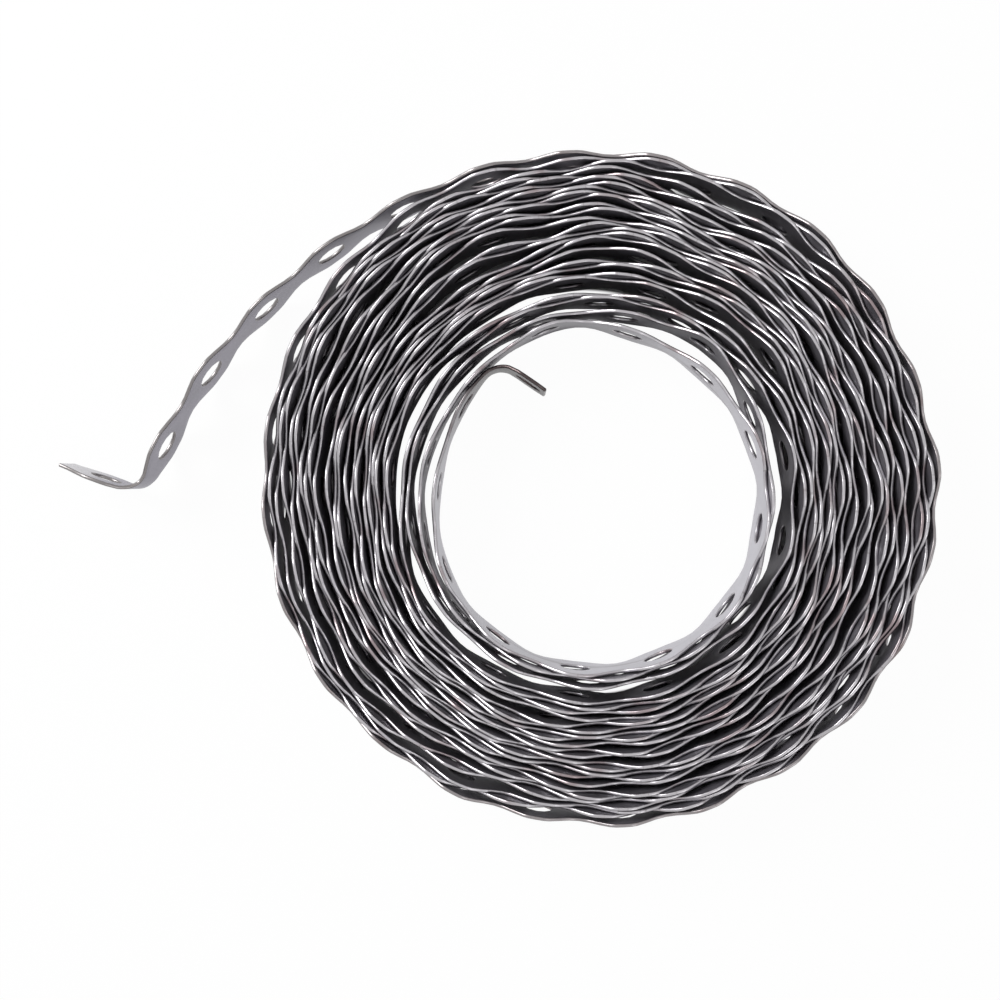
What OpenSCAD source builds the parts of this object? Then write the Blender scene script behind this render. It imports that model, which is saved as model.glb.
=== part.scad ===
// Roll of perforated steel fixing strap, lying flat.
// The strap is one length of thin steel with wavy edges and a round hole in each wide place.
// Its tight turns are one turned solid whose ridges show each turn on both ends.
// The outermost turn, the inner end with its hook and the free outer end are cut to the real outline.

/* [Strap] */
// Width across a hole
strap_w = 17; // [14:0.5:24]
// Width at the necks between holes
neck_w = 9; // [8:0.5:12]
// Thickness of the steel
strap_t = 0.8; // [0.5:0.05:1.2]
// Diameter of the fixing holes
hole_d = 7; // [4:0.1:8]
// Distance from hole to hole
hole_pitch = 19.5; // [17:0.5:26]
// Straight length of the edge beside each hole
crest_flat = 2.4; // [1:0.1:4]

/* [Tight turns] */
// Radius of the space inside the tight turns
bore_r = 46; // [36:1:60]
// Number of tight turns
turns = 23; // [12:1:34]
// Gap between one turn and the next
turn_gap = 0.46; // [0.3:0.01:0.8]

/* [Outer end] */
// Place round the roll where the outer end comes up from under the last turn
lift_at = 90; // [60:1:120]
// Angle at which it leaves the turn below
lift_tilt = 5; // [4:0.5:9]
// Extra radius of the stretch that comes off the roll
lift_ease = 5.5; // [3:0.5:10]
// Length of that stretch, up to the first free hole
lift_len = 45.7; // [36:0.1:60]
// Radius of the sprung-out stretch
free_r = 126; // [100:1:200]
// Number of holes in the sprung-out stretch
free_holes = 5; // [2:1:7]
// Length from the last of them to the bend
before_bend = 5.5; // [4:0.5:8]
// Radius of the bend near the tip
bend_r = 5; // [3:0.5:8]
// Angle of that bend
bend_angle = 81; // [30:1:100]
// Straight length from the bend to the tip
tip_len = 13.5; // [12:0.5:17]

/* [Inner end] */
// Place round the roll where the inner end leaves the tight turns
release_at = 205; // [190:1:230]
// Angle at which it leaves them
release_tilt = 4.8; // [4:0.1:5]
// Length from there to the first loose hole
lead_len = 19; // [16:0.5:24]
// How much smaller that stretch is than the space inside the tight turns
lead_ease = 1.5; // [1:0.1:3]
// How much smaller the loose turns get at each hole
loose_step = 0.3; // [0.25:0.05:0.4]
// Number of holes in the loose turns
loose_holes = 28; // [12:1:32]
// Length from the last of them to the hook
before_hook = 8.4; // [8:0.1:10]
// Radius of the hook
hook_r = 5.5; // [4:0.5:9]
// Angle of the hook
hook_angle = 76; // [40:1:110]
// Straight length from the hook to the tip
hook_len = 8; // [6:0.5:10]

/* [Hidden] */
$fn = 120;

turn_pitch = strap_t + turn_gap;
roll_r = bore_r + (turns - 1) * turn_pitch + strap_t;
mid_z = strap_w / 2;
wave_depth = (strap_w - neck_w) / 2;
wave_steps = 10;
facet_angle = 4;
// How far the cuts of one stretch run on into the next
lap = 0.2;

// A stretch of strap is [length, turn], with the turn to the left in degrees and 0 for straight.
function arc(radius, angle) = [radius * abs(angle) * PI / 180, angle];
function arc_radius(stretch) = stretch[0] * 180 / (PI * abs(stretch[1]));

// A pose is [x, y, heading]. This is the pose a stretch leads to.
function after(pose, stretch) =
    stretch[1] == 0
    ? [pose[0] + stretch[0] * cos(pose[2]), pose[1] + stretch[0] * sin(pose[2]), pose[2]]
    : let (
        side = sign(stretch[1]) * arc_radius(stretch),
        heading = pose[2] + stretch[1]
    )
    [
        pose[0] + side * (sin(heading) - sin(pose[2])),
        pose[1] + side * (cos(pose[2]) - cos(heading)),
        heading
    ];

// The pose at a length s along a stretch, or past its ends at the same bend
function along(pose, stretch, s) = after(pose, [s, stretch[1] * s / stretch[0]]);

// The pose and the length along the route at which stretch i starts
function start_pose(pose, route, i) =
    i == 0 ? pose : after(start_pose(pose, route, i - 1), route[i - 1]);
function start_length(route, i) =
    i == 0 ? 0 : start_length(route, i - 1) + route[i - 1][0];

// Outer end, from the turn under the last one to the tip
outer_start = [
    (roll_r - strap_t / 2 - turn_pitch) * cos(lift_at),
    (roll_r - strap_t / 2 - turn_pitch) * sin(lift_at),
    lift_at + 90 - lift_tilt
];
free_len = (free_holes - 1) * hole_pitch + before_bend;
outer_route = [
    [lift_len, lift_len * 180 / (PI * (roll_r + lift_ease))],
    [free_len, free_len * 180 / (PI * free_r)],
    arc(bend_r, -bend_angle),
    [tip_len, 0]
];
outer_tip = start_pose(outer_start, outer_route, len(outer_route));

// Inner end, from between the two innermost tight turns to the tip of the hook
inner_start = [
    (bore_r + turn_pitch / 2) * cos(release_at),
    (bore_r + turn_pitch / 2) * sin(release_at),
    release_at - 90 - release_tilt
];

// A stretch of the loose turns, after hole i
function loose(length, i) = [length, -length * 180 / (PI * (bore_r - lead_ease - i * loose_step))];
inner_route = [
    loose(lead_len, 0),
    for (i = [1 : loose_holes - 1]) loose(hole_pitch, i),
    loose(before_hook, loose_holes),
    arc(hook_r, -hook_angle),
    [hook_len, 0]
];

// The origin is on the floor, under the middle of the roll and its outer end together
left_x = outer_tip[0] - abs(sin(outer_tip[2])) * strap_t / 2;
middle_x = (left_x + roll_r) / 2;

// Half the length of edge that a wave takes between two crests
wave_half = (hole_pitch - crest_flat) / 2;

// How far from the middle of a cut its length s along the strap falls, on a bend of a radius
function across(s, radius) =
    radius == 0 ? s : radius * sin(max(-90, min(90, s * 180 / (PI * radius))));

// How far a cut of half length s reaches towards the middle of that bend
function reach(s, radius) =
    strap_t + (radius == 0 ? 0 : radius * (1 - cos(min(90, s * 180 / (PI * radius)))));

// How far a wave lies below its crests, at a length s from the middle of the neck
function wave_drop(s) = wave_depth * (1 + cos(180 * s / wave_half)) / 2;

// Outline of the waste from one wave of one edge. Its ends rise over the edge at the slope of the last step.
wave_step = 2 * wave_half / wave_steps;
edge_over = wave_drop(wave_half - wave_step) * crest_flat / (2 * wave_step);
function wave_outline(radius) = concat(
    [for (end = [1, -1]) [across(end * hole_pitch / 2, radius), mid_z + edge_over]],
    [for (i = [1 : wave_steps - 1])
        let (s = i * wave_step - wave_half)
        [across(s, radius), mid_z - wave_drop(s)]]
);

// The point a distance to the left of a pose
function beside(pose, left) = [pose[0] - left * sin(pose[2]), pose[1] + left * cos(pose[2])];

// The pose on a turn of a radius, at an angle round the roll
function round_roll(radius, at) = [radius * cos(at), radius * sin(at), at + 90];

// Puts children on the strap's middle plane, X along the strap and Z through its thickness
module on_strap(pose) {
    translate([pose[0], pose[1], mid_z])
        rotate([90, 0, pose[2]])
            children();
}

// Starts a cut just off the strap's outer side and takes it towards the middle of a bend, to the left or not
module from_outside(depth, left) {
    translate([0, 0, left ? -depth : -strap_t])
        linear_extrude(depth + strap_t)
            children();
}

module hole_cut(pose, radius, left) {
    on_strap(pose)
        from_outside(reach(hole_d / 2, radius), left)
            circle(d = hole_d);
}

// Takes the wave at one neck out of both edges, between two lengths from the middle of the neck
module neck_cut(pose, radius, left, low, high) {
    x_low = across(low, radius);
    x_high = across(high, radius);
    on_strap(pose)
        from_outside(reach(wave_half, radius), left)
            for (side = [0, 1])
                mirror([0, side])
                    intersection() {
                        polygon(wave_outline(radius));
                        translate([x_low, 0])
                            square([x_high - x_low, strap_w]);
                    }
}

// The plain strap along a route, standing on its edge
module plain_strap(pose, route) {
    poses = [
        for (i = [0 : len(route) - 1])
            let (parts = max(1, ceil(abs(route[i][1]) / facet_angle)))
            for (k = [0 : parts - 1])
                along(start_pose(pose, route, i), route[i], route[i][0] * k / parts),
        start_pose(pose, route, len(route))
    ];
    count = len(poses);
    linear_extrude(strap_w)
        polygon([
            for (k = [0 : count - 1]) beside(poses[k], strap_t / 2),
            for (k = [0 : count - 1]) beside(poses[count - 1 - k], -strap_t / 2)
        ]);
}

// The holes and waves in one stretch. The holes are counted from one at a length s along it.
module stretch_cuts(pose, stretch, s) {
    radius = stretch[1] == 0 ? 0 : arc_radius(stretch);
    left = stretch[1] > 0;
    first = ceil((-wave_half - s) / hole_pitch - 1 / 2);
    last = floor((stretch[0] + wave_half - s) / hole_pitch);
    for (i = [first : last]) {
        at = s + i * hole_pitch;
        neck = at + hole_pitch / 2;
        if (at > lap && at <= stretch[0] + lap)
            hole_cut(along(pose, stretch, at), radius, left);
        if (neck > -wave_half && neck < stretch[0] + wave_half)
            neck_cut(along(pose, stretch, neck), radius, left, -neck - lap, stretch[0] - neck + lap);
    }
}

// Strap along a route that has a hole at a length s from its start
module strap_along(pose, route, s) {
    difference() {
        plain_strap(pose, route);
        for (i = [0 : len(route) - 1])
            stretch_cuts(start_pose(pose, route, i), route[i], s - start_length(route, i));
    }
}

// The tight turns under the last one, solid up to the necks and ridged on both ends
module wound_turns() {
    rotate_extrude() {
        for (i = [0 : turns - 2])
            translate([bore_r + i * turn_pitch, 0])
                square([strap_t, strap_w]);
        translate([bore_r, wave_depth])
            square([roll_r - strap_t - bore_r, neck_w]);
    }
}

// The last tight turn, closed on itself, with a whole number of holes
module last_turn() {
    mid_r = roll_r - strap_t / 2;
    holes = round(2 * PI * mid_r / hole_pitch);
    step = 360 / holes;
    difference() {
        rotate_extrude()
            translate([roll_r - strap_t, 0])
                square([strap_t, strap_w]);
        for (i = [0 : holes - 1]) {
            at = lift_at + i * step;
            hole_cut(round_roll(mid_r, at), mid_r, true);
            neck_cut(round_roll(mid_r, at + step / 2), mid_r, true, -hole_pitch, hole_pitch);
        }
    }
}

module strap() {
    color("#8f8d92")
        translate([-middle_x, 0, 0]) {
            wound_turns();
            last_turn();
            strap_along(outer_start, outer_route, lift_len);
            strap_along(inner_start, inner_route, lead_len);
        }
}

strap();
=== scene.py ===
# %% [markdown]
# Roll of perforated steel strap
# The object is one long strip of thin zinc-grey steel with wavy edges and a round hole in each wide place.
# It is wound into a roll that lies flat. The inner end is bent into a hook, the outer end springs away.
# The frame holds the plain solid of the roll. This lesson models the strip itself, turn by turn.

# %% Load the frame
import math
import random
import bpy
import numpy as np
from mathutils import Matrix, Vector


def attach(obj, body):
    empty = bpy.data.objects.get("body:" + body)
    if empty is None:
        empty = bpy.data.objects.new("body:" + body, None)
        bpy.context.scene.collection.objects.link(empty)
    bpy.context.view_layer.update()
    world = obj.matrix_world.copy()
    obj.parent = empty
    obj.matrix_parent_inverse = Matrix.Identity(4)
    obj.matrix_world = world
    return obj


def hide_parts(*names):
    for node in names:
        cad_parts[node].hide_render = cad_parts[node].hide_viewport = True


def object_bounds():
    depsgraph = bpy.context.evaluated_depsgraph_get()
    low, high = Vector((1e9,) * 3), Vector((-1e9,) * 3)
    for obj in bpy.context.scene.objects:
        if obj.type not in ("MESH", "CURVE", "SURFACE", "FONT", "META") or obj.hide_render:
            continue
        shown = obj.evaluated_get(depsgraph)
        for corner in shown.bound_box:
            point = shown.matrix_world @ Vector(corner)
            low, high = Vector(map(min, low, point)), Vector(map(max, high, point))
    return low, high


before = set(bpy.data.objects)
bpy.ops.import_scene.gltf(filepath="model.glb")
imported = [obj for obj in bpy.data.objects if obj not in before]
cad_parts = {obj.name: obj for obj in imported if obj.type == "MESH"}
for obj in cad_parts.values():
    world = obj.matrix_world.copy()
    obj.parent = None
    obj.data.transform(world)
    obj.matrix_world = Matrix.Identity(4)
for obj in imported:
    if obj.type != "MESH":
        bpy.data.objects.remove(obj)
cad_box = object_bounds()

print("frame loaded, box", [round(v, 4) for v in (*cad_box[0], *cad_box[1])])

# %% [markdown]
# The strap's own sizes
# A press with one tool makes the strap, so every hole, crest and neck repeats at the same pitch.
# The sizes could be typed wherever they are used, but then one change would need many edits.
# They are written once here, in metres, and every later step takes them from here.

# %% Sizes of the strap
MM = 0.001
PITCH = 19.5 * MM
WIDTH = 17.0 * MM
NECK = 9.0 * MM
THICK = 0.8 * MM
HOLE_R = 3.5 * MM
CREST_FLAT = 2.4 * MM


def half_width(x):
    """Half the strap's width at a distance x from the middle of a hole, up to half a pitch."""
    wave_half = (PITCH - CREST_FLAT) / 2
    from_neck = PITCH / 2 - abs(x)
    if from_neck > wave_half:
        return WIDTH / 2
    drop = (WIDTH - NECK) / 2 * (1 + math.cos(math.pi * from_neck / wave_half)) / 2
    return WIDTH / 2 - drop


print("half widths from hole to neck", [round(half_width(PITCH * k / 8) / MM, 2) for k in range(5)])

# %% [markdown]
# One pitch of the strap
# On the real strip a press cuts the wave and the hole in one stroke, and the strip moves on by one pitch.
# A cylinder could be cut out with a Boolean, but its slivers would crease when the strip is wound up.
# Here a small grid is shaped by hand instead: each column is scaled to the wave, the points round the middle
# are pulled onto a circle, and the eight faces inside that circle are deleted.

# %% Helpers for working in edit mode
SAME_PLACE = 0.02 * MM


def only(obj):
    """Makes one object the only selected and active one."""
    if bpy.context.object and bpy.context.object.mode != "OBJECT":
        bpy.ops.object.mode_set(mode="OBJECT")
    bpy.ops.object.select_all(action="DESELECT")
    obj.select_set(True)
    bpy.context.view_layer.objects.active = obj


def pick_nothing(obj, kind):
    """Deselects a whole mesh and sets what edit mode selects: VERT, EDGE or FACE."""
    only(obj)
    bpy.ops.object.mode_set(mode="EDIT")
    bpy.ops.mesh.select_mode(type=kind)
    bpy.ops.mesh.select_all(action="DESELECT")
    bpy.ops.object.mode_set(mode="OBJECT")


def pick_points(obj, test):
    """Selects the vertices whose place passes the test, and goes to edit mode."""
    pick_nothing(obj, "VERT")
    for v in obj.data.vertices:
        v.select = test(v.co)
    bpy.ops.object.mode_set(mode="EDIT")


def pick_faces(obj, test):
    """Selects the faces whose middle passes the test, and goes to edit mode."""
    pick_nothing(obj, "FACE")
    for p in obj.data.polygons:
        p.select = test(p.center)
    bpy.ops.object.mode_set(mode="EDIT")


def near(a, b):
    """Whether two coordinates are the same place."""
    return abs(a - b) < SAME_PLACE


print("points within", SAME_PLACE / MM, "mm count as one place")

# %% A flat grid, stood on its edge
COLUMNS = 10
ROWS = 4
bpy.ops.object.select_all(action="DESELECT")
bpy.ops.mesh.primitive_grid_add(x_subdivisions=COLUMNS, y_subdivisions=ROWS, size=1.0)
strap = bpy.context.object
strap.name = "wound_strap"
strap.data.name = "wound_strap"
bpy.ops.object.mode_set(mode="EDIT")
bpy.ops.mesh.select_all(action="SELECT")
bpy.ops.transform.rotate(value=math.radians(90), orient_axis="X", center_override=(0, 0, 0))
bpy.ops.transform.resize(value=(PITCH, 1, WIDTH), center_override=(0, 0, 0))
bpy.ops.object.mode_set(mode="OBJECT")
print("grid", len(strap.data.polygons), "faces")

# %% Columns of the wave and of the hole
RING_STEP = 30
WAVE_COLUMNS = (5.2 * MM, 7.5 * MM)
ring = [math.radians(RING_STEP * k) for k in range(3)]
ring_z = [HOLE_R * math.cos(turn) for turn in ring]
columns = [*(HOLE_R * math.sin(turn) for turn in ring), *WAVE_COLUMNS, PITCH / 2]
for i, x in enumerate(columns):
    old_x = i * PITCH / COLUMNS
    inner_z = ring_z[i] if i < len(ring) else half_width(x) / 2
    for old_z, new_z in ((WIDTH / 2, half_width(x)), (WIDTH / ROWS, inner_z)):
        pick_points(strap, lambda co: near(abs(co.x), old_x) and near(abs(co.z), old_z))
        bpy.ops.transform.resize(value=(1, 1, new_z / old_z), center_override=(0, 0, 0))
    if i > 0:
        pick_points(strap, lambda co: near(abs(co.x), old_x))
        bpy.ops.transform.resize(value=(x / old_x, 1, 1), center_override=(0, 0, 0))
last_ring_x = columns[len(ring) - 1]
pick_points(strap, lambda co: near(abs(co.x), last_ring_x) and near(co.z, 0))
bpy.ops.transform.resize(value=(HOLE_R / last_ring_x, 1, 1), center_override=(0, 0, 0))
bpy.ops.object.mode_set(mode="OBJECT")
print("columns at", sorted({round(v.co.x / MM, 2) for v in strap.data.vertices}))

# %% Opening the hole
pick_faces(strap, lambda c: math.hypot(c.x, c.z) < HOLE_R)
bpy.ops.mesh.delete(type="FACE")
bpy.ops.object.mode_set(mode="OBJECT")
print("one pitch has", len(strap.data.polygons), "faces")

# %% [markdown]
# The loose inner turns
# Inside the roll about six turns have sprung away from the rest, and white slits show between them.
# A spiral could be worked out by a formula, but then every slit would lie in the wrong place.
# So the path is given as points of (angle round the roll, distance from its axis).
# The angle runs on from turn to turn, and the distance is in pixels of the photo.

# %% Points of the loose inner turns
PX_PER_MM = 4.34
loose = [
    # First turn, from the hook
    (120, 157.5), (134.8, 155.5), (147, 154), (159, 153), (174, 154.8), (182, 157.5), (193, 162.2),
    (204, 168), (234, 177.5), (260, 181), (287, 179.5), (314, 175.5), (341, 168), (370, 161), (401, 153.8),
    (416, 153), (434, 153.5), (463, 164),
    # Second turn
    (480, 161.3), (495, 160.8), (511, 162.5), (521, 165.3), (531, 169.3), (540, 172), (551, 174.8),
    (564, 179), (576, 182.5), (605, 185), (630, 186), (650, 185), (675, 180.5), (697, 173), (714, 167.5),
    (722, 166.5), (730, 167.2), (740, 167.5), (750, 169.5), (758, 172.5), (766, 175.5), (774, 176.5),
    (780, 174.5), (786, 172), (792, 170.7), (800, 170), (812, 170), (825, 170.5),
    # Third turn
    (840, 171.5), (850, 173.3), (860, 174.5), (870, 176.3), (885, 179.8), (915, 186.5), (940, 190),
    (965, 192.5), (978, 192.8), (990, 193), (1000, 192), (1010, 190.8), (1018, 190), (1034, 190),
    (1046, 191.3), (1056, 193.2), (1064, 192), (1070, 189.5), (1080, 188.7), (1090, 189.3), (1098, 187.5),
    (1110, 183.5), (1128, 181.5), (1155, 182), (1180, 182.5),
    # Fourth turn
    (1200, 182.5), (1230, 183.8), (1242, 184.8), (1254, 188), (1265, 190.5), (1275, 196), (1285, 203),
    (1294, 207), (1302, 207.8), (1311, 209.5), (1320, 209), (1331, 208), (1342, 207.5), (1352, 209.5),
    (1364, 208), (1376, 206.5), (1400, 204), (1425, 200), (1445, 196.5), (1465, 193), (1485, 189),
    (1515, 186.5), (1540, 186.5),
    # Fifth turn
    (1560, 187.5), (1570, 189.5), (1582, 196), (1590, 199.6), (1598, 200.6), (1606, 201), (1612, 203),
    (1618, 203.2), (1627, 202.6), (1640, 207), (1660, 211), (1690, 212.5), (1710, 213), (1735, 214),
    (1770, 209), (1800, 203), (1825, 198.5), (1845, 196.5), (1862, 197.5), (1876, 200), (1890, 201.7),
    (1900, 202),
    # Sixth turn, up to the tight ones
    (1920, 202.3), (1935, 202), (1950, 203.2), (1965, 206), (1990, 208), (2020, 215.5), (2050, 217.5),
    (2095, 219), (2130, 214.5), (2160, 209), (2185, 209), (2200, 212.5), (2212, 211), (2225, 207),
    (2247, 205), (2280, 206), (2300, 208),
]
print(len(loose), "points for the loose turns")

# %% The distance from the axis at every degree of the loose turns
COIL_AT = 2290
LIFT_AT = 9450
LOOSE_GAP = 0.06 * MM


def through(points, x):
    """A smooth line through points, at each x: cubic pieces with slopes taken from the points around."""
    px = np.array([p[0] for p in points], float)
    py = np.array([p[1] for p in points], float)
    slope = np.gradient(py, px)
    i = np.clip(np.searchsorted(px, x) - 1, 0, len(px) - 2)
    h = px[i + 1] - px[i]
    t = (x - px[i]) / h
    return ((1 + 2 * t) * (1 - t) ** 2 * py[i] + t * (1 - t) ** 2 * h * slope[i]
            + t * t * (3 - 2 * t) * py[i + 1] + t * t * (t - 1) * h * slope[i + 1])


first = loose[0][0]
angle = np.arange(0, LIFT_AT + 1, 1.0)
radius = np.zeros(len(angle))
by_hand = (angle >= first) & (angle <= COIL_AT)
radius[by_hand] = through(loose, angle[by_hand]) * (MM / PX_PER_MM)
for a in range(first + 360, COIL_AT + 1):
    radius[a] = max(radius[a], radius[a - 360] + THICK + LOOSE_GAP)
print("loose turns reach", round(radius[COIL_AT] / MM, 2), "mm from the axis")

# %% [markdown]
# The tight turns
# The roll was wound by hand, so the outer turns lie in bundles, with gaps that swell and close.
# A constant step from turn to turn would be quick, but it would look like a machine part.
# Here each turn is laid on the one below it, with room that comes from a sum of seeded waves.
# The room is shared out so that the last turn follows the roll's outline, which is given as a list of
# points.

# %% Room between the tight turns
WINDING_SEED = 26
SWELLS = 26
SWELL_LENGTHS = (35, 230)
SWELL_HEIGHTS = (0.5, 1.0)
LEAST_ROOM = 0.10
BUNDLE_SHIFT = 0.25
BUNDLE_POWER = 1.3
OPEN_AT = 9145
OPEN_ROOM = 1.5
PRESSED_AT = 2610
PRESSED = 0.7
START_CLOSED = 0.87


def patch(middle, half, power):
    """1 at an angle round the roll, falling to 0 a little beyond the half width on both sides."""
    return np.exp(-((angle - middle) / half) ** power)


rng = random.Random(WINDING_SEED)
swell = np.zeros(len(angle))
for _ in range(SWELLS):
    length = rng.uniform(*SWELL_LENGTHS)
    phase = rng.uniform(0, 360)
    height = rng.uniform(*SWELL_HEIGHTS)
    swell += height * np.sin(np.radians((angle + phase) * 360 / length))
swell = swell / np.std(swell)
room = LEAST_ROOM + np.clip(swell + BUNDLE_SHIFT, 0, None) ** BUNDLE_POWER
open_patch = patch(OPEN_AT, half=45, power=4)
room = room * (1 - open_patch) + OPEN_ROOM * open_patch
room *= 1 - PRESSED * patch(PRESSED_AT, half=35, power=4)
room *= 1 - START_CLOSED * patch(COIL_AT, half=40, power=2)
print("room between turns", round(room.min(), 2), "to", round(room.max(), 2), "before it is shared out")

# %% Each turn laid on the one below it
LEAST_GAP = 0.03 * MM
SHARE_PASSES = 80
TURN_PASSES = 3
SETTLED_FROM = 149
rim = [
    (9080, 72.6), (9090, 72.75), (9110, 73.5), (9130, 74.4), (9150, 74.9), (9180, 74.6), (9215, 74.45),
    (9240, 74.8), (9265, 75.3), (9285, 74.9), (9310, 74.65), (9330, 75.1), (9350, 75.1), (9365, 74.2),
    (9380, 73.6), (9400, 73.4), (9425, 73.65), (9450, 73.75), (9460, 73.7),
]
outside = through(rim, angle) * MM
share = np.zeros(360)
for last in range(LIFT_AT - 359, LIFT_AT + 1):
    laid = np.arange(last, COIL_AT, -360)
    spare = outside[last] - radius[laid[-1] - 360] - len(laid) * (THICK + LEAST_GAP)
    share[last % 360] = spare / room[laid].sum()
for _ in range(SHARE_PASSES):
    share = (np.roll(share, 1) + share + np.roll(share, -1)) / 3
for a in range(COIL_AT + 1, LIFT_AT + 1):
    radius[a] = radius[a - 360] + THICK + LEAST_GAP + room[a] * share[a % 360]
settled = radius[SETTLED_FROM:]
for _ in range(TURN_PASSES):
    settled[1:-1] = (settled[:-2] + settled[1:-1] + settled[2:]) / 3
gaps = (settled[360:] - settled[:-360]) / MM
print("outside", round(radius[-360:].min() / MM, 2), "to", round(radius[-360:].max() / MM, 2),
      "mm; from turn to turn", round(gaps.min(), 2), "to", round(gaps.max(), 2), "mm")

# %% [markdown]
# The hook and the free end
# The inner end is bent into a small hook. The outer end has sprung off the roll in a wide arc, with a sharp
# bend near its tip. Points set by hand would give these bends flat spots.
# Arcs with a length and an angle say it best, so both ends are walked step by step, like a turtle drawing.

# %% Walking along arcs
def walk(x, y, heading, stretches, step=0.4 * MM):
    """Points along arcs of (length, turn in degrees to the left), from a place and a heading."""
    points = [(x, y)]
    for length, turn in stretches:
        count = max(1, round(length / step))
        for _ in range(count):
            heading += turn / count / 2
            x += length / count * math.cos(math.radians(heading))
            y += length / count * math.sin(math.radians(heading))
            heading += turn / count / 2
            points.append((x, y))
    return points


def arc(r, turn):
    """A stretch that turns by an angle at a radius."""
    return (r * math.radians(abs(turn)), turn)


def on_turn(a):
    """The place on the turns at an angle, seen from the roll's axis."""
    r = np.interp(a, angle, radius)
    return r * math.cos(math.radians(a)), r * math.sin(math.radians(a))


print("the free end starts at", [round(v / MM, 2) for v in on_turn(LIFT_AT)], "mm from the axis")

# %% The hook, the turns and the free end as one line
HOOK_AT = 134.8
HOOK_BEND = arc(5.5 * MM, -79)
HOOK_TIP = (8.2 * MM, 0)
LIFT_TILT = 2.8
LEAVING = (26.0 * MM, 19.3)
FIRST_PITCH = (PITCH, 9.9)
SPRUNG = (4 * PITCH, 36.0)
BEFORE_BEND = (7.6 * MM, 1.8)
BEND = arc(5.2 * MM, -84.5)
TIP = (14.0 * MM, 0)
PATH_STEP = 1.5
hook = walk(*on_turn(HOOK_AT), HOOK_AT - 90, [HOOK_BEND, HOOK_TIP])[::-1]
free_end = walk(*on_turn(LIFT_AT), LIFT_AT % 360 + 90 - LIFT_TILT,
                [LEAVING, FIRST_PITCH, SPRUNG, BEFORE_BEND, BEND, TIP])
turned = [on_turn(a) for a in np.arange(HOOK_AT + 1, LIFT_AT - 0.5, PATH_STEP)]
flat_path = np.array(hook[:-1] + turned + free_end)
steps = np.hypot(*np.diff(flat_path, axis=0).T)
along = np.concatenate([[0], np.cumsum(steps)])
LENGTH = float(along[-1])
print(len(flat_path), "points,", round(LENGTH, 3), "m of strip")

# %% [markdown]
# The path as a curve
# On a real roll no turn lies quite level: some stand a little high and some lean over.
# The strip could be bent vertex by vertex, but a curve does it in one step and stays easy to change.
# Each point of the curve has its own height and its own tilt, from slow seeded waves along the strip.

# %% Height and lean of the turns
SWAYS = 14
WHOLE_WAVE = 6.3
LIFT_LENGTHS = (30, 140)
MEAN_LIFT = 0.22
LIFT_SWAY = 0.07
LIFT_LIMITS = (0.02, 0.6)
LEAN_LENGTHS = (80, 300)
LEAN_SWAY = 0.25
MOST_LEAN = 0.6


def sway(shortest, longest):
    """A slow wave along the strip, with a seeded length in mm for each radian and a seeded start."""
    length = rng.uniform(shortest, longest)
    start = rng.uniform(0, WHOLE_WAVE)
    return np.sin(along / length / MM + start)


lift = np.zeros(len(along))
lean = np.zeros(len(along))
for _ in range(SWAYS):
    lift += sway(*LIFT_LENGTHS)
    lean += sway(*LEAN_LENGTHS)
lift = np.clip(MEAN_LIFT + LIFT_SWAY * lift, *LIFT_LIMITS) * MM
lean = np.clip(LEAN_SWAY * lean, -MOST_LEAN, MOST_LEAN)
print("turns stand up to", round(lift.max() / MM, 2), "mm high and lean up to",
      round(abs(lean).max(), 2), "degrees")

# %% A curve along the path
# The roll fills the depth of the box and its right end, so its axis lies half the depth in from that end.
AXIS_X = cad_box[1][0] - cad_box[1][1]
path_data = bpy.data.curves.new("winding", "CURVE")
path_data.dimensions = "3D"
path_data.twist_mode = "Z_UP"
path_data.use_stretch = True
path_data.use_deform_bounds = True
line = path_data.splines.new("POLY")
line.points.add(len(flat_path) - 1)
for point, (x, y), z, turn in zip(line.points, flat_path, lift, lean):
    point.co = (x + AXIS_X, y, WIDTH / 2 + z, 1)
    point.tilt = math.radians(turn)
winding = bpy.data.objects.new("winding", path_data)
bpy.context.scene.collection.objects.link(winding)
print("tip of the free end at", [round(v / MM, 2) for v in line.points[-1].co[:2]], "mm")

# %% [markdown]
# From one pitch to the whole strip
# The real strip is cut off square at both ends, wherever the length runs out.
# Copies of the pitch could be placed by a loop, but an Array repeats the pitch and merges the seams at once.
# Two bisect cuts then make the square ends.

# %% Repeat the pitch and cut the ends
TIP_AFTER_HOLE = 9.7 * MM
HOOK_HOLE = 4.5 * MM
holes = round((LENGTH - HOOK_HOLE - TIP_AFTER_HOLE) / PITCH) + 1
strip_len = HOOK_HOLE + (holes - 1) * PITCH + TIP_AFTER_HOLE


def finish_with(obj, kind, **settings):
    """Adds a modifier with these settings and applies it."""
    only(obj)
    mod = obj.modifiers.new(kind.lower(), kind)
    for name, value in settings.items():
        setattr(mod, name, value)
    bpy.ops.object.modifier_apply(modifier=mod.name)


pick_points(strap, lambda co: True)
bpy.ops.transform.translate(value=(HOOK_HOLE, 0, 0))
bpy.ops.object.mode_set(mode="OBJECT")
finish_with(strap, "ARRAY", count=holes, use_relative_offset=False, use_constant_offset=True,
            constant_offset_displace=(PITCH, 0, 0), use_merge_vertices=True, merge_threshold=SAME_PLACE)
for x, sign in ((0, -1), (strip_len, 1)):
    pick_points(strap, lambda co: True)
    bpy.ops.mesh.bisect(plane_co=(x, 0, 0), plane_no=(sign, 0, 0), clear_outer=True)
bpy.ops.object.mode_set(mode="OBJECT")
print(holes, "holes,", round(strip_len, 4), "m of flat strip,", len(strap.data.polygons), "faces")

# %% [markdown]
# More columns at the two sharp bends
# The hook and the bend near the tip have a radius of about 5 mm, and the pitch has only a few columns.
# More columns everywhere would make the roll too heavy, so only the faces between two holes at each bend
# are divided, along the strip.

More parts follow.
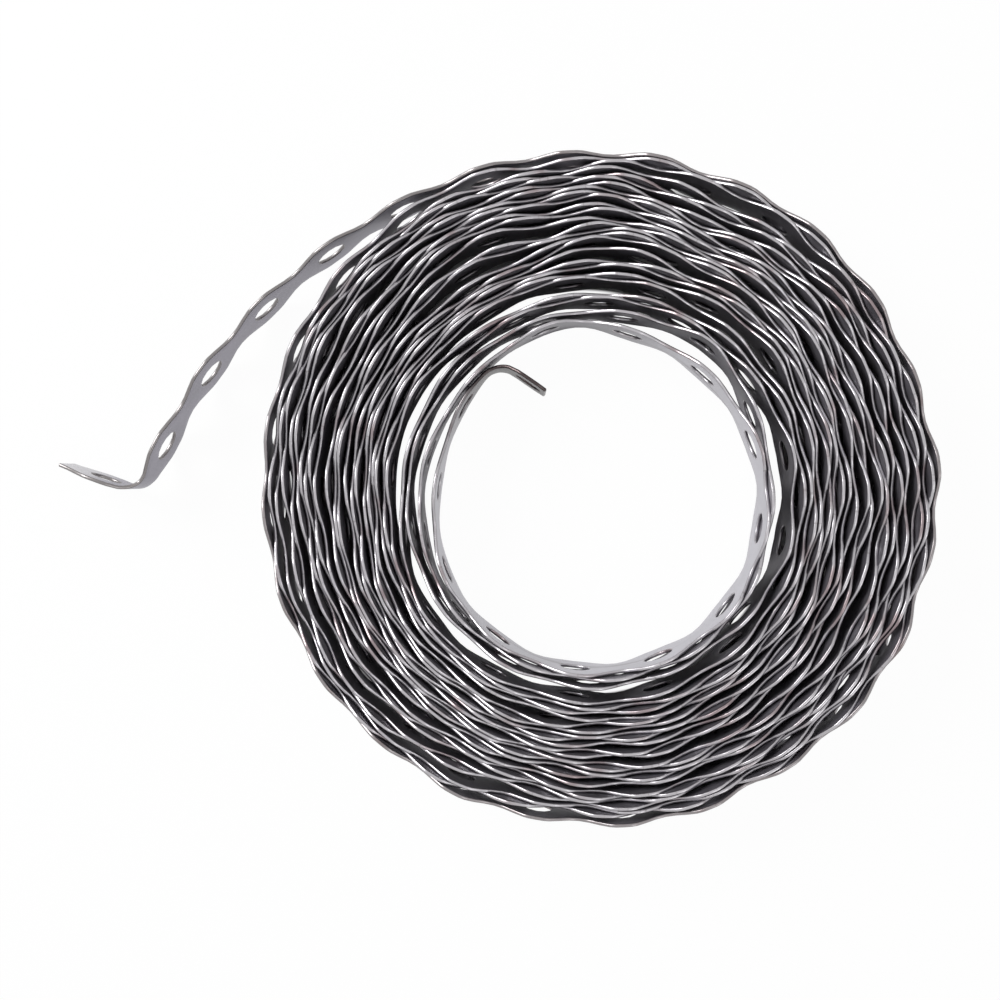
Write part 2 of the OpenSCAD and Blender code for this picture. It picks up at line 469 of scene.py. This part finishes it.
# %% Divide the faces at the bends
CLEAR_OF_HOLE = 3.4 * MM
SHORTEST_RUN = 0.5 * MM
EXTRA_COLUMNS = 3


def pick_long_edges(obj, low, high):
    """Selects the edges that run along the strip between two places, and goes to edit mode."""
    pick_nothing(obj, "EDGE")
    points = obj.data.vertices
    for e in obj.data.edges:
        a, b = (points[i].co for i in e.vertices)
        run = abs(a.x - b.x)
        inside = low < min(a.x, b.x) and max(a.x, b.x) < high
        e.select = inside and run > SHORTEST_RUN and run > abs(a.z - b.z)
    bpy.ops.object.mode_set(mode="EDIT")


for hole_before in (HOOK_HOLE, strip_len - TIP_AFTER_HOLE - PITCH):
    pick_long_edges(strap, hole_before + CLEAR_OF_HOLE, hole_before + PITCH - CLEAR_OF_HOLE)
    bpy.ops.mesh.subdivide(number_cuts=EXTRA_COLUMNS)
bpy.ops.object.mode_set(mode="OBJECT")
print(len(strap.data.polygons), "faces with the extra columns")

# %% [markdown]
# A map of the strip
# The mill's grain, the wear and the painted shade and highlights follow the strip and not the room, so the
# finishes need to know how far along the strip and how high across it a point lies. Once the strip is wound
# up, that is hard to tell.
# While it still lies flat, its X and Z are written into its UV map, in metres.

# %% Length and width as a UV map
uv = strap.data.uv_layers[0]
uv.name = "strip"
corner_vertex = np.zeros(len(strap.data.loops), np.int32)
strap.data.loops.foreach_get("vertex_index", corner_vertex)
places = np.zeros(len(strap.data.vertices) * 3, np.float32)
strap.data.vertices.foreach_get("co", places)
places = places.reshape(-1, 3)[corner_vertex]
uv.data.foreach_set("uv", places[:, [0, 2]].ravel())
print("strip map from", round(float(places[:, 0].min()), 3), "to", round(float(places[:, 0].max()), 3), "m")

# %% [markdown]
# Thickness, broken edges and winding
# The steel is under a millimetre thick, and its sheared edges catch the light because they are not sharp.
# Extruding by hand would do, but Solidify gives the same thickness everywhere, also round each hole.
# A small Bevel breaks the edges while the strip is still flat. The Curve modifier then winds it along the
# path, and Weighted Normal keeps the wide faces flat in the light.

# %% From flat sheet to wound strip
EDGE_BREAK = 0.2 * MM
BEVEL_FROM = math.radians(40)
SMOOTH_UP_TO = math.radians(60)
strap.data.materials.clear()
FACE_STEEL, EDGE_STEEL = (bpy.data.materials.new(name) for name in ("zinc_face", "sheared_edge"))
for steel in (FACE_STEEL, EDGE_STEEL):
    strap.data.materials.append(steel)
finish_with(strap, "SOLIDIFY", thickness=THICK, offset=0.0, use_rim=True, material_offset_rim=1)
finish_with(strap, "BEVEL", width=EDGE_BREAK, segments=1, limit_method="ANGLE", angle_limit=BEVEL_FROM,
            material=1)
finish_with(strap, "CURVE", object=winding, deform_axis="POS_X")
only(strap)
bpy.ops.object.shade_smooth_by_angle(angle=SMOOTH_UP_TO)
finish_with(strap, "WEIGHTED_NORMAL", weight=80, keep_sharp=True)
bpy.data.objects.remove(winding)
print("strip of", sum(len(p.vertices) - 2 for p in strap.data.polygons), "triangles")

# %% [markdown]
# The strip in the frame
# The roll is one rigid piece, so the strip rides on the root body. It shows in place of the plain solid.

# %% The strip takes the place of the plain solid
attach(strap, "root")
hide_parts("strap")
print("riding on the root body")

# %% [markdown]
# Sums in the shader editor
# The finishes mix several patterns, and each mix is a chain of nodes. Nodes could be added and linked one by
# one, but that is long and hard to read.
# So a small class wraps a node's socket, and ordinary arithmetic on it adds the nodes.

# %% A socket that can be added, multiplied and mixed
class Wire:
    """A node's output socket that Python can do sums with."""

    def __init__(self, tree, socket):
        self.tree = tree
        self.socket = socket

    def node(self, kind, settings=None, output=0, **inputs):
        return add_node(self.tree, kind, settings, output, **inputs)

    def maths(self, operation, *values):
        numbered = {str(i): v for i, v in enumerate(values)}
        return self.node("ShaderNodeMath", {"operation": operation}, **numbered)

    def __add__(self, other):
        return self.maths("ADD", self, other)

    def __sub__(self, other):
        return self.maths("SUBTRACT", self, other)

    def __mul__(self, other):
        return self.maths("MULTIPLY", self, other)

    def __rsub__(self, other):
        return self.maths("SUBTRACT", other, self)

    __radd__ = __add__
    __rmul__ = __mul__

    def larger(self, other):
        """The larger of two values."""
        return self.maths("MAXIMUM", self, other)

    def vector(self, operation, *others, output=0):
        """Vector Math with this wire as the first vector."""
        numbered = {str(i): v for i, v in enumerate((self, *others))}
        return self.node("ShaderNodeVectorMath", {"operation": operation}, output, **numbered)

    def distance(self):
        """How long this vector is."""
        return self.vector("LENGTH", output=1)

    def ramp(self, low, high):
        """0 below low, 1 above high, smooth between."""
        limits = {"From Min": low, "From Max": high}
        return self.node("ShaderNodeMapRange", {"interpolation_type": "SMOOTHSTEP"}, Value=self, **limits)

    def mix(self, first, second):
        """Colour first where this is 0, second where it is 1."""
        colours = {"0": self, "6": first, "7": second}
        return self.node("ShaderNodeMix", {"data_type": "RGBA"}, output=2, **colours)


print("wires can do sums")

# %% Helpers for nodes and materials
def give(tree, socket, value):
    """Links a wire to an input socket, or sets a plain value there."""
    if isinstance(value, Wire):
        tree.links.new(value.socket, socket)
    elif socket.type == "RGBA":
        socket.default_value = (*value, 1.0)
    else:
        socket.default_value = value


def add_node(tree, kind, settings=None, output=0, **inputs):
    """Adds a node, sets it up, and links or sets its inputs by name or number."""
    node = tree.nodes.new(kind)
    for name, value in (settings or {}).items():
        setattr(node, name, value)
    for name, value in inputs.items():
        give(tree, node.inputs[int(name) if name.isdigit() else name], value)
    return Wire(tree, node.outputs[output])


def start_material(material):
    """Empties a material and gives back its tree, its shader and its output."""
    material.use_nodes = True
    tree = material.node_tree
    tree.nodes.clear()
    out = tree.nodes.new("ShaderNodeOutputMaterial")
    shader = tree.nodes.new("ShaderNodeBsdfPrincipled")
    tree.links.new(shader.outputs[0], out.inputs["Surface"])
    return tree, shader, out


def feed(tree, shader, **inputs):
    """Links wires, or sets plain values, on a shader's sockets."""
    for name, value in inputs.items():
        give(tree, shader.inputs[name.replace("_", " ")], value)


def object_place(tree):
    """The place of a point in the object's own coordinates."""
    return add_node(tree, "ShaderNodeTexCoord", output=3)


print("helpers for nodes are ready")

# %% Patterns along the strip
# The hook's stretch is painted dark on its faces and edges, a painted shade.
HOOK_SHADE_STRETCH = (0.010, 0.045)
BUMP_DEPTH = 0.2 * MM


def along_strip(tree):
    """The strip's map, the way from the hook's end and the way left to the tip, in metres."""
    strip = add_node(tree, "ShaderNodeUVMap", {"uv_map": "strip"})
    from_hook = add_node(tree, "ShaderNodeSeparateXYZ", Vector=strip)
    return strip, from_hook, LENGTH - from_hook


def noise(tree, where, per_metre, detail, roughness=0.5):
    """Soft noise between 0 and 1, with so many patches a metre along each axis."""
    placed = add_node(tree, "ShaderNodeMapping", Vector=where, Scale=per_metre)
    return add_node(tree, "ShaderNodeTexNoise", {"noise_dimensions": "3D"}, Vector=placed, Scale=1.0,
                    Detail=detail, Roughness=roughness)


def small_bumps(tree, height, strength):
    """A normal with shallow bumps from a pattern."""
    return add_node(tree, "ShaderNodeBump", Strength=strength, Distance=BUMP_DEPTH, Height=height)


print("hook finish ends", HOOK_SHADE_STRETCH[1], "m along the strip of", round(LENGTH, 3), "m")

# %% [markdown]
# The rolled faces
# A plain grey metal would look like plastic foil. The mill leaves lines along the strip, the zinc has slow
# cloudy patches, and handling leaves a few darker smears, so colour, roughness and bump read those three.
# The innermost stretch is painted light, a painted reflection of the bright bore floor, and the turns beyond
# it are painted darker, a painted shade between the turns. The hook is painted dark, a painted shade, the
# outer end is paler than the roll, and its tip is painted light, a painted highlight.

# %% Zinc faces
# The zinc comes as a lit and a shaded copy: the lit one is a painted reflection of the bright bore on the
# innermost stretch, and the shaded one is painted shade on the turns beyond.
LIT_INNER_ZINC = ((0.41, 0.40, 0.435), (0.50, 0.49, 0.53))
SHADED_TURN_ZINC = ((0.135, 0.126, 0.146), (0.21, 0.20, 0.226))
OUTER_END = ((0.21, 0.20, 0.24), (0.31, 0.295, 0.345))
TIP_HIGHLIGHT = (0.56, 0.55, 0.575)
SMEAR = (0.12, 0.10, 0.107)
HOOK_SHADE_COLOUR = (0.035, 0.027, 0.029)
LIT_INNER_UP_TO = (0.203, 0.226)
END_STRETCH = (0.15, 0.22)
TIP_HIGHLIGHT_STRETCH = (0.012, 0.020)
tree, shader, _ = start_material(FACE_STEEL)
strip, from_hook, to_tip = along_strip(tree)
grain = noise(tree, strip, (90, 3800, 1), detail=2.0)
cloud = noise(tree, object_place(tree), (120, 120, 120), detail=3.0)
worn = noise(tree, strip, (14, 160, 1), detail=4.0, roughness=0.6).ramp(0.56, 0.74)
tone = (cloud * 0.55 + grain * 0.45).ramp(0.30, 0.70)
# Painted light: lighter zinc on the innermost stretch, darker zinc where the turns shade each other.
zinc = from_hook.ramp(*LIT_INNER_UP_TO).mix(tone.mix(*LIT_INNER_ZINC), tone.mix(*SHADED_TURN_ZINC))
zinc = (worn * 0.5).mix(zinc, SMEAR)
zinc = to_tip.ramp(*END_STRETCH).mix(tone.mix(*OUTER_END), zinc)
# Painted highlight: the tip after the last bend is painted near white.
zinc = to_tip.ramp(*TIP_HIGHLIGHT_STRETCH).mix(TIP_HIGHLIGHT, zinc)
# Painted shade: the hook's faces are painted dark.
zinc = from_hook.ramp(*HOOK_SHADE_STRETCH).mix(HOOK_SHADE_COLOUR, zinc)
satin = 0.30 + grain * 0.06 + cloud * 0.12
feed(tree, shader, Base_Color=zinc, Metallic=0.6, Roughness=satin, Normal=small_bumps(tree, grain, 0.08))
print("zinc faces:", len(tree.nodes), "nodes")

# %% [markdown]
# The sheared edges
# The shears leave bright bare steel with short marks across the edge, and here and there it is tinted brown.
# One finish for the whole strip would be simpler, but it would lose the bright lines that draw each turn.
# So the rim has a material of its own, brighter than the faces, with its tint where two patterns meet.

# %% Bright edges with a brown tint
CUT_STEEL = ((0.45, 0.435, 0.455), (0.33, 0.315, 0.325))
BROWN = (0.23, 0.165, 0.17)
HOOK_EDGE_SHADE = (0.07, 0.055, 0.055)
LAST_TURN_EDGE = (0.17, 0.145, 0.14)
OUTER_END_EDGE = (0.24, 0.225, 0.225)
LAST_TURN_STRETCH = (0.48, 0.60)
END_EDGE_STRETCH = (0.12, 0.17)
tree, shader, _ = start_material(EDGE_STEEL)
strip, from_hook, to_tip = along_strip(tree)
ticks = noise(tree, strip, (1500, 40, 1), detail=1.0)
tint_place = noise(tree, object_place(tree), (90, 90, 90), detail=2.0).ramp(0.48, 0.64)
tint_strip = noise(tree, strip, (45, 5, 1), detail=2.0).ramp(0.42, 0.60)
edge = ticks.ramp(0.62, 0.78).mix(*CUT_STEEL)
edge = (tint_place * tint_strip * 0.75).mix(edge, BROWN)
# Painted shade: the hook's edges are painted dark.
edge = from_hook.ramp(*HOOK_SHADE_STRETCH).mix(HOOK_EDGE_SHADE, edge)
edge = ((1 - to_tip.ramp(*LAST_TURN_STRETCH)) * 0.6).mix(edge, LAST_TURN_EDGE)
edge = to_tip.ramp(*END_EDGE_STRETCH).mix(OUTER_END_EDGE, edge)
gloss = 0.28 + ticks * 0.08
feed(tree, shader, Base_Color=edge, Metallic=0.9, Roughness=gloss, Normal=small_bumps(tree, ticks, 0.06))
print("sheared edges:", len(tree.nodes), "nodes")

# %% [markdown]
# The white floor
# The roll lies on white paper. More light would make the paper white, but it would bleach the steel too.
# So the floor glows white only for rays from the camera and for rays that metal mirrors, and the object's
# shadow stays. Under the roll the glow is left out, so that the gaps between its turns stay dark.

# %% A floor
FLOOR_SIZE = 6.0
FLOOR_DROP = 0.2 * MM
bpy.ops.object.select_all(action="DESELECT")
bpy.ops.mesh.primitive_plane_add(size=FLOOR_SIZE, location=(0, 0, -FLOOR_DROP))
table = bpy.context.object
table.name = "table"
paper = bpy.data.materials.new("white_paper")
table.data.materials.append(paper)
print("table", FLOOR_SIZE, "m wide")

# %% White paper that keeps the shadow
PAPER = (0.9, 0.9, 0.9)
GLOW = 0.97
UNDER_ROLL = (69 * MM, 74 * MM)
SEEN_SHIFT = (3.3 * MM, 1.5 * MM, 0)
SEEN_WITHIN = (47.2 * MM, 48.0 * MM)
BORE_SHIFT = (-0.373 * MM, 3.498 * MM, 0)
BORE_OVAL = (37.3 * MM, 37.9 * MM)
BORE_WITHIN = (1.0, 1.07)


def ray_kinds(tree):
    """1 for rays from the camera, and 1 for rays that a surface mirrors or lets through."""
    from_camera = add_node(tree, "ShaderNodeLightPath")
    kinds = from_camera.socket.node.outputs
    mirrored = Wire(tree, kinds["Is Glossy Ray"]).larger(Wire(tree, kinds["Is Transmission Ray"]))
    return from_camera, mirrored


tree, shader, out = start_material(paper)
feed(tree, shader, Base_Color=PAPER, Roughness=0.8)
from_camera, mirrored = ray_kinds(tree)
off_axis = object_place(tree).vector("MULTIPLY_ADD", (1, 1, 0), (-AXIS_X, 0, 0))
under_roll = 1 - off_axis.distance().ramp(*UNDER_ROLL)
white_seen = 1 - off_axis.vector("ADD", SEEN_SHIFT).distance().ramp(*SEEN_WITHIN) * under_roll
in_oval = off_axis.vector("ADD", BORE_SHIFT).vector("MULTIPLY", (1 / BORE_OVAL[0], 1 / BORE_OVAL[1], 0))
white_mirrored = 1 - in_oval.distance().ramp(*BORE_WITHIN) * under_roll
shown = (from_camera * white_seen + mirrored * white_mirrored) * GLOW
glow = add_node(tree, "ShaderNodeEmission", Color=(1.0, 1.0, 1.0), Strength=1.0)
both = tree.nodes.new("ShaderNodeMixShader")
tree.links.new(shown.socket, both.inputs[0])
tree.links.new(shader.outputs[0], both.inputs[1])
tree.links.new(glow.socket, both.inputs[2])
tree.links.new(both.outputs[0], out.inputs["Surface"])
print("white paper:", len(tree.nodes), "nodes")

# %% [markdown]
# World and lamps
# The light on the roll is soft and comes mostly from one side, and the bright edges mirror white all round.
# A sun lamp would give hard glints, so two large area lamps are used, at a plain level.
# The world is white where it is seen or mirrored, and dimmer as a light.

# %% A white world
SKY_LIGHT = 0.3
world = bpy.data.worlds.new("studio")
bpy.context.scene.world = world
world.use_nodes = True
tree = world.node_tree
tree.nodes.clear()
from_camera, mirrored = ray_kinds(tree)
strength = SKY_LIGHT + from_camera.larger(mirrored) * (1 - SKY_LIGHT)
sky = add_node(tree, "ShaderNodeBackground", Color=(1.0, 1.0, 1.0), Strength=strength)
out = tree.nodes.new("ShaderNodeOutputWorld")
tree.links.new(sky.socket, out.inputs["Surface"])
print("world:", len(tree.nodes), "nodes")

# %% Two soft lamps
LAMPS_POINT_AT = Vector((0.02, 0, 0.01))


def lamp(name, place, size, power):
    """A square soft lamp that points at the roll."""
    data = bpy.data.lights.new(name, "AREA")
    data.size = size
    data.energy = power
    obj = bpy.data.objects.new(name, data)
    bpy.context.scene.collection.objects.link(obj)
    obj.location = place
    obj.rotation_euler = (LAMPS_POINT_AT - Vector(place)).to_track_quat("-Z", "Y").to_euler()


lamp("key_lamp", place=(-0.55, 0.35, 0.45), size=0.4, power=6.0)
lamp("fill_lamp", place=(0.5, -0.4, 0.6), size=0.4, power=1.0)
print("lamps lit")

# %% [markdown]
# The camera
# The photo looks down into the roll from almost straight above, a little off its axis.
# A camera could be turned by three angles, but those are hard to guess. Here it gets a place, and the way
# that its back points. The picture's upper edge is kept square to the world's Y.

# %% Camera
SENSOR = 36.0
FOCAL_IN_WIDTHS = 1.1834
CAMERA_AT = (0.007555, 0.003368, 0.2785)
CAMERA_BACK = (0.007153, 0.006445, 0.2785)
NEAREST_SEEN = 0.01
camera = bpy.data.objects.new("camera", bpy.data.cameras.new("camera"))
bpy.context.scene.collection.objects.link(camera)
camera.data.sensor_width = SENSOR
camera.data.lens = SENSOR * FOCAL_IN_WIDTHS
camera.data.clip_start = NEAREST_SEEN
camera.location = CAMERA_AT
back = Vector(CAMERA_BACK).normalized()
right = Vector((0, 1, 0)).cross(back).normalized()
camera.rotation_euler = Matrix((right, back.cross(right), back)).transposed().to_euler()
bpy.context.scene.camera = camera
bpy.context.scene.view_settings.view_transform = "Standard"
print("camera", round(CAMERA_AT[2], 3), "m above the floor")
